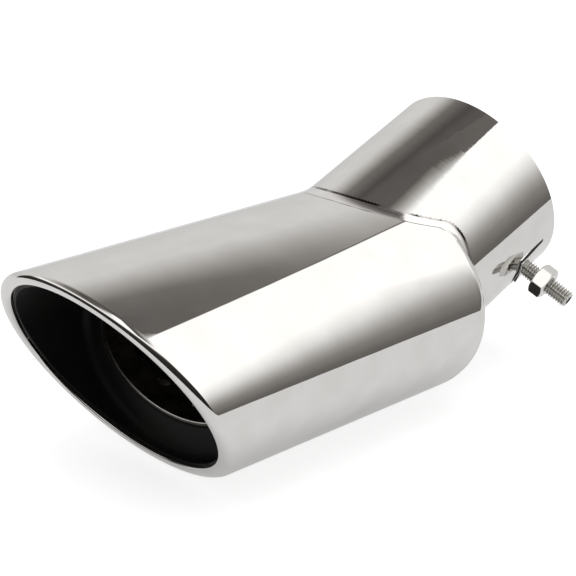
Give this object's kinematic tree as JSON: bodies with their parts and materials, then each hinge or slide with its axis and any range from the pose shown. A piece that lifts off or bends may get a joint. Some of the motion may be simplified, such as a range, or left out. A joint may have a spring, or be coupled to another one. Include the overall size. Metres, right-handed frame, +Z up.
{
  "type": "exhaust tip",
  "caption": "Angled exhaust tip: polished oval body, leaning rolled mouth, black liner round a perforated oval tube, welded to a slip-on inlet pipe with a set screw.",
  "frame": {"origin": "where the axis of the body meets the axis of the inlet pipe, at the pipe's front end inside the body", "axes": "+X runs along the body from the mouth towards the inlet; +Z is up; +Y is the side away from the set screw; the inlet pipe leaves towards +X and 22 degrees upward"},
  "size_m": [0.1962, 0.0945, 0.0942],
  "materials": {
    "polished_body": "polished stainless sheet",
    "weld": "ground and polished weld",
    "polished_pipe": "polished stainless tube",
    "black_liner": "black heat-proof coating, satin",
    "dark_tube": "dark coated steel, dull",
    "screw_steel": "plated thread",
    "nut_steel": "plated"
  },
  "bodies": {
    "root": {"outer_shell": "polished_body", "seam_weld": "weld", "inlet_pipe": "polished_pipe", "inner_liner": "black_liner", "inner_tube": "dark_tube", "set_screw": "screw_steel", "lock_nut": "nut_steel"}
  },
  "joints": []
}
